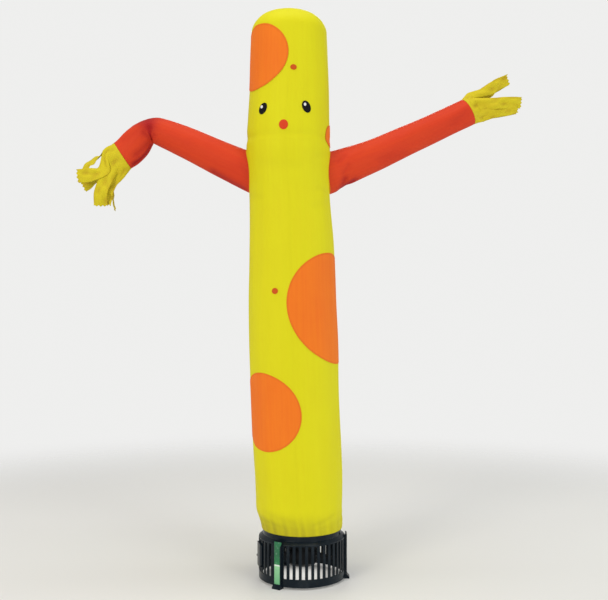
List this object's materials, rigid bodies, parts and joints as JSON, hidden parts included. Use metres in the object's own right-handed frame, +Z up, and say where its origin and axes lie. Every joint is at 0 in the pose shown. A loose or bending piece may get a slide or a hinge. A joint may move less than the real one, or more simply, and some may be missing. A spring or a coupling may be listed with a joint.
{
  "type": "inflatable air dancer with blower base",
  "caption": "Tall fan-filled cloth tube with a domed top, two sleeves, streamer hands and sewn-on ovals, standing on a slotted round blower.",
  "frame": {"origin": "on the floor under the blower's axis, at the middle of the bounding box's underside", "axes": "+Z up through the tube, -Y towards the figure's front, +X towards the raised arm"},
  "size_m": [2.6132, 0.517, 3.29],
  "materials": {
    "yellow_nylon": "satin",
    "red_nylon": "satin",
    "hand_nylon": "satin",
    "orange_nylon": "satin",
    "black_nylon": "satin",
    "white_nylon": "satin",
    "black_plastic": "satin",
    "green_strip": "satin",
    "dark_metal": "satin"
  },
  "bodies": {
    "root": {"body_tube": "yellow_nylon", "arm_left": "red_nylon", "arm_right": "red_nylon", "hand_left": "hand_nylon", "hand_right": "hand_nylon", "spot_head": "orange_nylon", "spot_shoulder": "orange_nylon", "spot_belly": "orange_nylon", "spot_low": "orange_nylon", "dot_head": "orange_nylon", "dot_belly": "orange_nylon", "nose": "red_nylon", "eye_left": "black_nylon", "eye_right": "black_nylon", "glint_left": "white_nylon", "glint_right": "white_nylon", "housing": "black_plastic", "leg_front": "black_plastic", "leg_right": "black_plastic", "leg_back": "black_plastic", "control_box": "black_plastic", "cord_gland": "black_plastic", "fan": "black_plastic", "label": "green_strip", "motor": "dark_metal", "motor_bracket": "dark_metal"}
  },
  "joints": []
}
